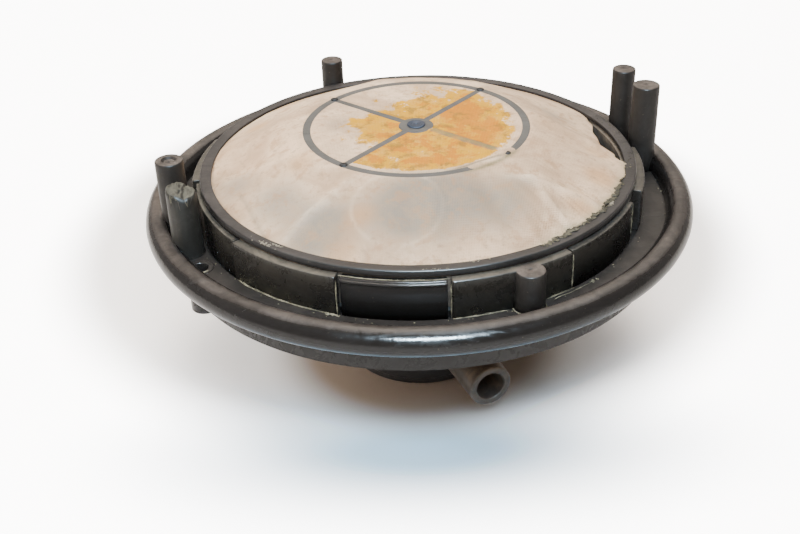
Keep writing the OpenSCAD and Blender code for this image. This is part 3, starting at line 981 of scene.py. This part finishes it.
def build_residue():
    """Pale sealant lines at the feet and edges of the wall, crumbs on the floor, specks of rust, and a pale
    strand on the locating hole's lip that is a painted highlight.
    """
    pile = Pile()
    gaps = windows()
    foot = FLOOR + 0.1 * MM
    out = WALL_OUT + 0.1 * MM
    (left, right), (next_left, next_right) = gaps[:2]
    for a, b in ((gaps[5][1] - 359, left), (right, right + 13), (next_left - 7, next_left + 1)):
        strand(pile, arc_path(a, b, out, foot), 0.17 * MM)
    rise = WALL_TOP - FLOOR - 0.6 * MM
    for az, r in ((left + 0.3, out), (right - 0.3, out), (next_right - 5.2, out - 1.0 * MM),
                  (next_left + 0.3, out)):
        path = [polar(az, r - 0.15 * MM, FLOOR + rise * i / 12) for i in range(13)]
        path = [p + noise.noise_vector(p * 300) * 0.1 * MM for p in path]
        strand(pile, path, 0.15 * MM)
    strand(pile, arc_path(left, right, WALL_IN + 0.6 * MM, WALL_TOP - 0.35 * MM, 0.1), 0.14 * MM)
    post = centre("post_front")
    ring = [Vector((post.x, post.y, foot)) + polar(20 * k - 90, 3.5 * MM, 0) for k in range(-6, 7)]
    ring = [p + noise.noise_vector(p * 400) * 0.15 * MM for p in ring]
    strand(pile, ring, 0.16 * MM)
    strand(pile, arc_path(next_left - 6, next_left + 5, out + 1.0 * MM, foot, 0.4), 0.1 * MM)
    for k in range(9):
        at = polar(next_left + 6 + rng.gauss(0, 1.1), out + 1.2 * MM + rng.gauss(0, 0.4) * MM, foot)
        crumb(pile, at, rng.uniform(0.15, 0.4) * MM, 0.4)
    for k in range(22):
        at = polar(left - 0.6 + rng.gauss(0, 0.8), out + rng.uniform(0.0, 0.6) * MM, FLOOR + 0.05 * MM)
        crumb(pile, at, rng.uniform(0.1, 0.3) * MM, 0.5)
    for k in range(140):
        az = rng.uniform(-180, 180)
        r = rng.choice((53.9, 54.5, 58.4)) * MM + rng.uniform(-0.3, 0.3) * MM
        at = polar(az, r, FLOOR + 0.03 * MM)
        crumb(pile, at, rng.uniform(0.06, 0.18) * MM, 0.4)
    # a pale strand along the front of the locating hole's lip: a painted highlight
    hole = centre("locating_bush")
    lip = [Vector((hole.x, hole.y, foot)) + polar(-150 + 9 * k, 2.5 * MM, 0.1 * MM) for k in range(14)]
    strand(pile, [p + noise.noise_vector(p * 400) * 0.1 * MM for p in lip], 0.13 * MM)
    paint(pile.make("sealant_residue_and_lip_highlight", "pan", "pan_plastic"), "residue")
    spots = Pile()
    post = centre("post_left_front")
    rusty = Vector((post.x - 3.1 * MM, post.y - 2.2 * MM, FLOOR + 1.2 * MM))
    for k in range(5):
        at = rusty + Vector([rng.uniform(-0.5, 0.5) * MM for _ in range(3)])
        crumb(spots, at, rng.uniform(0.2, 0.45) * MM, 0.7)
    paint(spots.make("rust_spots", "pan", "pan_plastic"), "rust")


# ---------- stiffener

def strip(pile, path, half, closed=False):
    """Flat moulded strip lying along a path on the cloth, with rounded edges."""
    thick = 0.5 * MM
    section = fillet([(-half, -thick), (half, -thick), (half * 0.92, 0), (-half * 0.92, 0)], thick * 0.5, 3)
    n, m = len(path), len(section)
    verts, faces = [], []
    for k, p in enumerate(path):
        before = path[k - 1] if closed or k else path[0]
        after = path[(k + 1) % n] if closed or k < n - 1 else path[-1]
        d = (after - before).normalized()
        side = d.cross(Vector((0, 0, 1))).normalized()
        for s, z in section:
            verts.append(p + side * s + Vector((0, 0, z)))
    for k in range(n if closed else n - 1):
        q = (k + 1) % n
        for i in range(m):
            j = (i + 1) % m
            faces.append((k * m + i, q * m + i, q * m + j, k * m + j))
    if not closed:
        faces.append(tuple(range(m)))
        faces.append(tuple((n - 1) * m + i for i in range(m - 1, -1, -1)))
    pile.add(verts, faces)


def build_stiffener():
    low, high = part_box("stiffener_grid")
    pile = Pile()
    band = GRID_R - GRID_BAND / 2
    top = high.z - 0.12 * MM
    strip(pile, [polar(1.5 * k, band, top) for k in range(240)], GRID_BAND / 2, True)
    for az in (SPOKE_AZ, SPOKE_AZ + 90):
        path = [polar(az, (k / 30 - 1) * (GRID_R - 1 * MM), top) for k in range(61)]
        strip(pile, path, 0.95 * MM)
    hub, bore = 4.1 * MM, 0.9 * MM
    outline = [(bore, low.z), (hub, low.z), (hub, high.z - 0.1 * MM), (bore, high.z - 0.05 * MM)]
    lathe(pile, fillet(outline, [0, 0, 0.2 * MM, 0.1 * MM]), 64, wobble=0.1 * MM)
    paint(pile.make("stiffener_cross", "dome_island", "stiffener_plastic", ["stiffener_grid"]), "grid")
    pips = Pile()
    outline = fillet([(0.02 * MM, low.z), (0.98 * MM, low.z), (0.95 * MM, high.z + 0.15 * MM),
                      (0.02 * MM, high.z + 0.2 * MM)], [0, 0, 0.25 * MM, 0])
    for k in range(4):
        lathe(pips, outline, 28, Matrix.Translation(polar(SPOKE_AZ + 90 * k, band, 0)))
    paint(pips.make("stiffener_pip_heads", "dome_island", "pip_plastic", ["stiffener_pips"]), "pip")
    low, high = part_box("guide_pin")
    pin = Pile()
    head = high.z - 0.4 * MM
    outline = [(0.02 * MM, low.z), (1 * MM, low.z), (1 * MM, head), (2.2 * MM, head),
               (2.05 * MM, high.z - 0.05 * MM), (1.3 * MM, high.z - 0.08 * MM), (1 * MM, high.z - 0.2 * MM),
               (0.02 * MM, high.z - 0.22 * MM)]
    lathe(pin, fillet(outline, [0, 0.3 * MM, 0, 0.1 * MM, 0.25 * MM, 0.2 * MM, 0.2 * MM, 0]), 48)
    paint(pin.make("guide_pin_turned", "dome_island", "pin_steel", ["guide_pin"]), "pin")


# ---------- CAD pieces that stay as they are

def keep_cad():
    kept = {"pan_shell": "pan", "pan_funnel": "pan", "seal_gasket": "rubber", "guide_spider": "pan",
            "cloth_frame": "frame", "stiffener_backer": "grid", "spring_seat": "grid"}
    for node, key in kept.items():
        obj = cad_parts[node]
        paint(obj, key)
        if node in ("pan_shell", "pan_funnel"):
            edge = obj.modifiers.new("soft_edges", "BEVEL")
            edge.width = 0.3 * MM
            edge.segments = 3
            edge.limit_method = "ANGLE"
            edge.angle_limit = math.radians(35)


# ---------- studio

# where bluish light is painted on the paper in front of the cup, with the coordinates stretched to make it
# a long patch
BLUE_LIGHT_SPOT, BLUE_LIGHT_STRETCH = (0, -0.044, 0), (0.36, 1, 1)


def build_floor():
    corners = [(-3, -2), (3, -2), (3, 4), (-3, 4)]
    floor = make("studio_floor", [(x, y, 0) for x, y in corners], [(0, 1, 2, 3)], None)
    p = Paint("studio_floor_paint")
    pale = p.mix(p.noise(3, detail=2), (0.86, 0.87, 0.885), (0.88, 0.885, 0.89))
    # painted light and shadow on the paper: the bluish patch in front of the cup, and a brown shadow close
    # round the object's axis
    blue_light = p.span(p.away_from(BLUE_LIGHT_SPOT, BLUE_LIGHT_STRETCH), 0.0, 0.036, 1, 0)
    shade = p.span(p.away_from((0, 0, 0)), 0.027, 0.043, 1, 0)
    pale = p.mix(blue_light, pale, (0.38, 0.65, 0.9))
    pale = p.mix(shade, pale, (0.2, 0.155, 0.12))
    floor.data.materials.append(p.done(pale, 0.75, Alpha=p.front_face()))

    # painted light and shadow: a glow that only the camera sees and that lights nothing, held off inside a
    # circle drawn for the object's shadow and over the bluish patch, weaker and warmer close round the
    # object
    shine = make("studio_floor_shine", [(x, y, 0.02 * MM) for x, y in corners], [(0, 1, 2, 3)], None)
    for ray in ("diffuse", "glossy", "transmission", "shadow"):
        setattr(shine, "visible_" + ray, False)
    p = Paint("studio_floor_shine_paint")
    from_shadow = p.away_from((-0.005, 0.058, 0))
    from_blue = p.away_from(BLUE_LIGHT_SPOT, BLUE_LIGHT_STRETCH)
    lit = p.times(p.span(from_blue, 0.004, 0.034), p.span(from_shadow, 0.088, 0.112, 0, 8))
    soft = p.times(p.span(from_blue, 0.006, 0.03), p.span(p.away_from((0, 0, 0)), 0.04, 0.075, 0, 0.6))
    glow = p.node("ShaderNodeEmission")
    tint = p.mix(p.span(from_shadow, 0.086, 0.096), (1.0, 0.9, 0.85), (1, 0.985, 0.975))
    p.feed(glow.inputs["Color"], tint)
    p.feed(glow.inputs["Strength"], p.times(p.plus(lit, soft), p.front_face()))
    both = p.node("ShaderNodeAddShader")
    p.feed(both.inputs[0], p.node("ShaderNodeBsdfTransparent").outputs[0])
    p.feed(both.inputs[1], glow.outputs[0])
    p.feed(p.tree.nodes["Material Output"].inputs["Surface"], both.outputs[0])
    shine.data.materials.append(p.mat)


def lamp(name, spot, size, power, colour, tall=None, diffuse=True, glossy=True):
    """Soft rectangular lamp aimed at the middle of the object."""
    data = bpy.data.lights.new(name, "AREA")
    data.shape = "RECTANGLE"
    data.size, data.size_y = size, tall or size
    data.energy, data.color = power, colour
    obj = bpy.data.objects.new(name, data)
    bpy.context.collection.objects.link(obj)
    obj.location = spot
    obj.visible_camera = False
    obj.visible_diffuse, obj.visible_glossy = diffuse, glossy
    aim = Vector((0, 0, 0.03)) - Vector(spot)
    obj.rotation_euler = aim.to_track_quat("-Z", "Y").to_euler()


def build_light():
    world = bpy.data.worlds.new("studio_air")
    bpy.context.scene.world = world
    world.use_nodes = True
    air = world.node_tree.nodes["Background"]
    air.inputs["Color"].default_value = (1.0, 0.9, 0.81, 1)
    air.inputs["Strength"].default_value = 0.8

    lamp("front_lamp", (0.022, -0.245, 0.29), 0.08, 1.05, (0.93, 0.97, 1.0), 0.05)
    lamp("front_lamp_shine", (0.022, -0.27, 0.295), 0.12, 17.0, (0.62, 0.83, 1.0), 0.08, diffuse=False)
    lamp("overhead_light", (0.05, 0.5, 1.0), 0.5, 19.0, (1.0, 0.88, 0.75))
    lamp("side_light", (-0.75, -0.1, 0.5), 0.4, 13.0, (1.0, 0.93, 0.86), glossy=False)


def build_camera():
    """The photograph's viewing angle, fitted to the circles of the rim, the ring and the cup."""
    data = bpy.data.cameras.new("camera")
    cam = bpy.data.objects.new("camera", data)
    bpy.context.collection.objects.link(cam)
    data.sensor_width, data.lens = 36, 51.1
    data.dof.use_dof = False
    data.clip_start, data.clip_end = 0.01, 20
    cam.location = (0, -0.24354, 0.17288)
    look = (Vector((-0.00494, 0, 0.02246)) - cam.location).to_track_quat("-Z", "Y")
    cam.rotation_mode = "QUATERNION"
    cam.rotation_quaternion = look @ Matrix.Rotation(math.radians(-2.03), 3, "Z").to_quaternion()
    bpy.context.scene.camera = cam


build_rim()
build_walls()
build_post("post_left_rear", 3.3, 1.6)
build_torn_post("post_left_front", 3.35)
build_post("post_right_rear", 2.9)
build_post("post_right_front", 3.3)
build_post("post_front", 3.2)
build_post("post_back", 2.9)
build_bush()
build_outlet()
build_spring()
build_ring()
build_windows()
build_cloth()
build_fringe()
build_residue()
build_stiffener()
keep_cad()
build_floor()
build_light()
build_camera()
